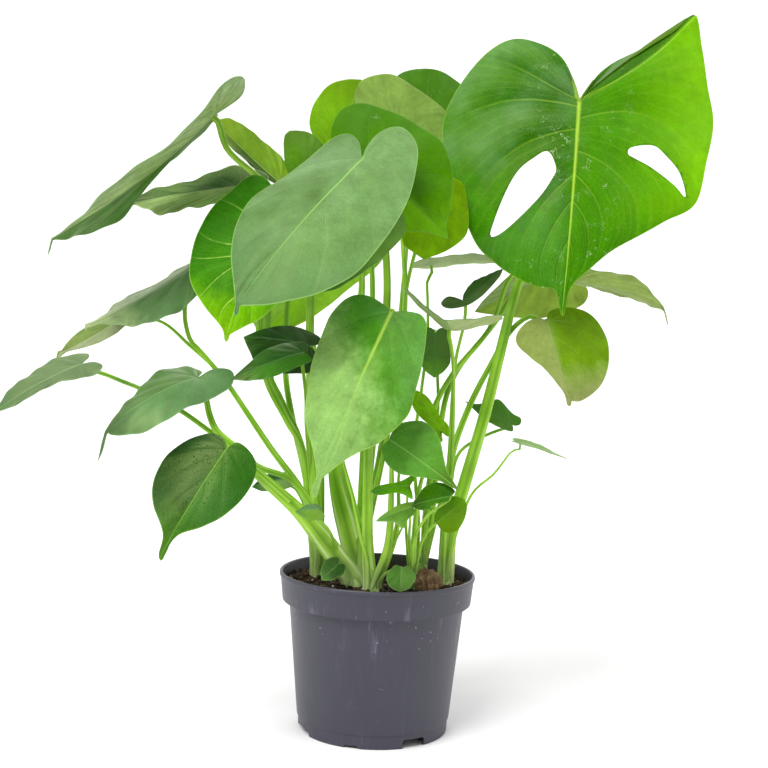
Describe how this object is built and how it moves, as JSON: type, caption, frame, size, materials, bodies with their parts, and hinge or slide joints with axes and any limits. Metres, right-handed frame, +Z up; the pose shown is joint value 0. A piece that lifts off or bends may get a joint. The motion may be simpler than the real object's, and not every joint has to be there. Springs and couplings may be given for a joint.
{
  "type": "potted plant",
  "caption": "Young swiss cheese plant with broad heart-shaped leaves on long petioles, one leaf with natural holes, rooted in a plain round nursery pot.",
  "frame": {"origin": "centre of the pot's base, on the surface it stands on", "axes": "+Z up along the pot's axis, -Y towards the side the plant is seen from, +X to that viewer's right, where the largest leaf is"},
  "size_m": [0.5865, 0.3088, 0.6445],
  "materials": {
    "pot_plastic": "satin",
    "potting_soil": "matte",
    "leaf_bright": "satin",
    "leaf_dark": "satin",
    "leaf_deep": "satin",
    "leaf_grey": "satin",
    "leaf_lime": "satin",
    "leaf_mid": "satin",
    "leaf_olive": "satin",
    "leaf_pale": "satin",
    "stem_green": "satin",
    "dry_brown": "matte"
  },
  "bodies": {
    "root": {"pot": "pot_plastic", "soil": "potting_soil", "leaf_01": "leaf_bright", "leaf_02": "leaf_grey", "leaf_03": "leaf_dark", "leaf_04": "leaf_lime", "leaf_05": "leaf_lime", "leaf_06": "leaf_olive", "leaf_07": "leaf_dark", "leaf_08": "leaf_dark", "leaf_09": "leaf_pale", "leaf_10": "leaf_grey", "leaf_11": "leaf_grey", "leaf_12": "leaf_bright", "leaf_13": "leaf_olive", "leaf_14": "leaf_deep", "leaf_15": "leaf_mid", "leaf_16": "leaf_grey", "leaf_17": "leaf_dark", "leaf_18": "leaf_grey", "leaf_19": "leaf_olive", "leaf_20": "leaf_grey", "leaf_21": "leaf_mid", "leaf_22": "leaf_mid", "leaf_23": "leaf_dark", "leaf_24": "leaf_mid", "leaf_25": "leaf_dark", "leaf_26": "leaf_mid", "leaf_27": "leaf_mid", "leaf_28": "leaf_mid", "leaf_29": "leaf_dark", "leaf_30": "leaf_grey", "leaf_31": "leaf_dark", "leaf_32": "leaf_olive", "leaf_33": "leaf_olive", "leaf_34": "leaf_olive", "leaf_35": "leaf_olive", "leaf_36": "leaf_deep", "leaf_37": "leaf_olive", "leaf_38": "leaf_grey", "leaf_39": "leaf_deep", "leaf_40": "leaf_lime", "leaf_41": "leaf_deep", "stem_right": "stem_green", "stem_back": "stem_green", "stem_centre": "stem_green", "stem_front": "stem_green", "stem_left": "stem_green", "stem_low": "stem_green", "stem_small": "stem_green", "dry_stub": "dry_brown", "bark_chunk": "dry_brown"}
  },
  "joints": []
}
